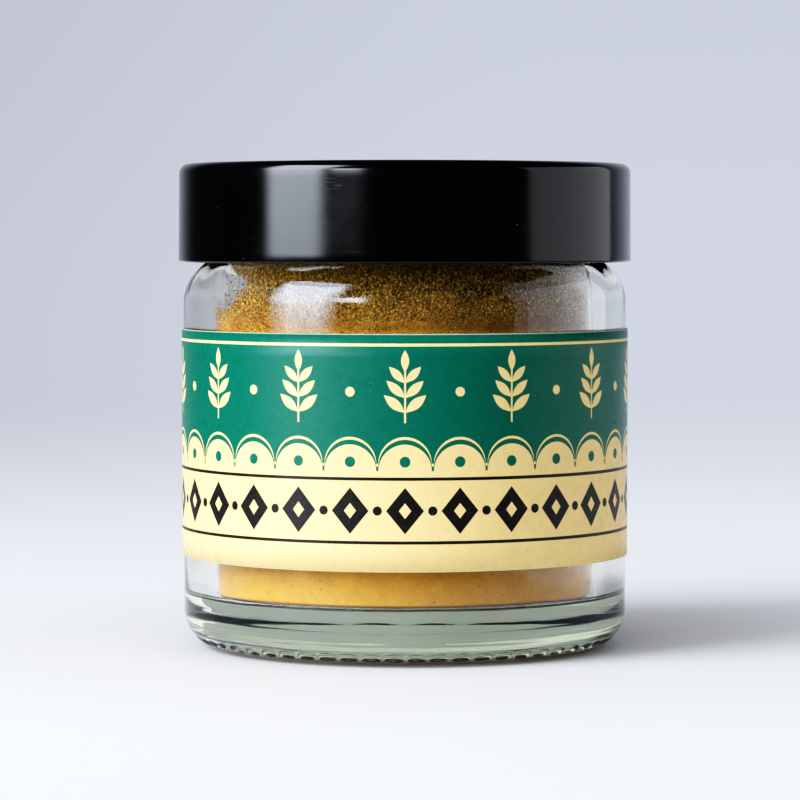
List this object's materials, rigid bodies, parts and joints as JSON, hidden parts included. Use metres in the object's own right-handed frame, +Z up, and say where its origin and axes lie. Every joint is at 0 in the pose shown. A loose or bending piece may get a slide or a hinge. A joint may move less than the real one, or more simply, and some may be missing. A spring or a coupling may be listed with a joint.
{
  "type": "ground galangal spice jar",
  "caption": "Clear glass spice jar with a paper wrap label, filled with ground galangal root, closed by a black screw lid with a sealing liner that unscrews and rises.",
  "frame": {"origin": "centre of the jar's foot, on the surface that it stands on", "axes": "+Z up along the axis of the jar and of its screw thread; the front of the label faces -Y and its seam is at +Y"},
  "size_m": [0.0616, 0.0616, 0.0655],
  "materials": {
    "clear_glass": "polished",
    "ground_spice": "matte",
    "label_paper": "satin",
    "black_plastic": "gloss",
    "liner_foam": "matte"
  },
  "bodies": {
    "jar": {"glass_jar": "clear_glass", "ground_spice": "ground_spice", "paper_label": "label_paper"},
    "liner": {"sealing_liner": "liner_foam"},
    "lid": {"screw_lid": "black_plastic"}
  },
  "joints": [
    {"name": "lid_rise", "type": "slide", "parent": "jar", "child": "liner", "axis": [0, 0, 1], "range_m": [0, 0.004]},
    {"name": "lid_turn", "type": "hinge", "parent": "liner", "child": "lid", "pos_m": [0, 0, 0.0522], "axis": [0, 0, 1], "range_deg": [0, 360]}
  ],
  "couplings": [
    {"joint": "lid_rise", "follows": "lid_turn", "m_per_rad": 0.00063661}
  ]
}
